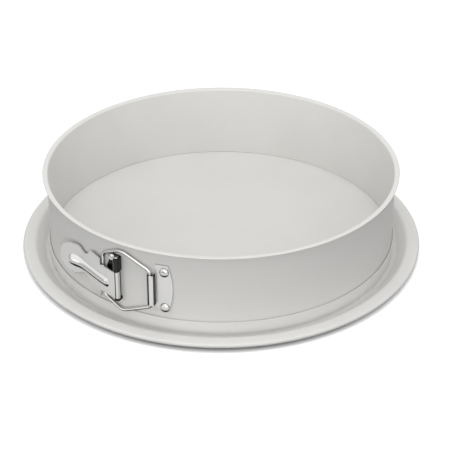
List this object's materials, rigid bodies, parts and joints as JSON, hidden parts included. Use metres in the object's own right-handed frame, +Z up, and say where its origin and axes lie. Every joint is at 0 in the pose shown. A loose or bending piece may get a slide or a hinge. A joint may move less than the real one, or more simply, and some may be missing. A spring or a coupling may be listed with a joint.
{
  "type": "cake pan",
  "caption": "Light grey coated steel springform cake pan with a wide drip tray, a removable spring band and a bright wire over-centre latch",
  "frame": {"origin": "on the table plane, under the middle of the tray", "axes": "+Z is up out of the open pan, -Y is out through the lever's pin, +X is to the right seen from the latch side"},
  "size_m": [0.304, 0.304, 0.066],
  "materials": {
    "coated_steel": "satin",
    "plated_steel": "bright plated"
  },
  "bodies": {
    "base": {"base_tray": "coated_steel"},
    "ring_left": {"band_left": "coated_steel", "hinge_bracket": "plated_steel", "lever_pin": "plated_steel", "hinge_rivet_upper": "plated_steel", "hinge_rivet_lower": "plated_steel"},
    "ring_right": {"band_right": "coated_steel", "catch_bracket": "plated_steel", "catch_rivet_upper": "plated_steel", "catch_rivet_lower": "plated_steel"},
    "lever_arm": {"lever": "plated_steel"},
    "bail": {"wire_bail": "plated_steel"}
  },
  "joints": [
    {"name": "ring_lift", "type": "slide", "parent": "base", "child": "ring_left", "axis": [0, 0, 1], "range_m": [0, 0.09]},
    {"name": "lever_swing", "type": "hinge", "parent": "ring_left", "child": "lever_arm", "pos_m": [0, -0.13515, 0.0324], "axis": [0, 0, 1], "range_deg": [0, 92]},
    {"name": "ring_spread", "type": "hinge", "parent": "ring_left", "child": "ring_right", "pos_m": [0, 0.13037, 0.035], "axis": [0, 0, 1], "range_deg": [0, 1.33]},
    {"name": "bail_swing", "type": "hinge", "parent": "ring_right", "child": "bail", "pos_m": [0.02606, -0.13139, 0.0353], "axis": [0, 0, 1], "range_deg": [0, 25.9]}
  ],
  "couplings": [
    {"joint": "ring_spread", "follows": "lever_swing", "ratio": 0.01435},
    {"joint": "bail_swing", "follows": "lever_swing", "ratio": 0.2804}
  ]
}
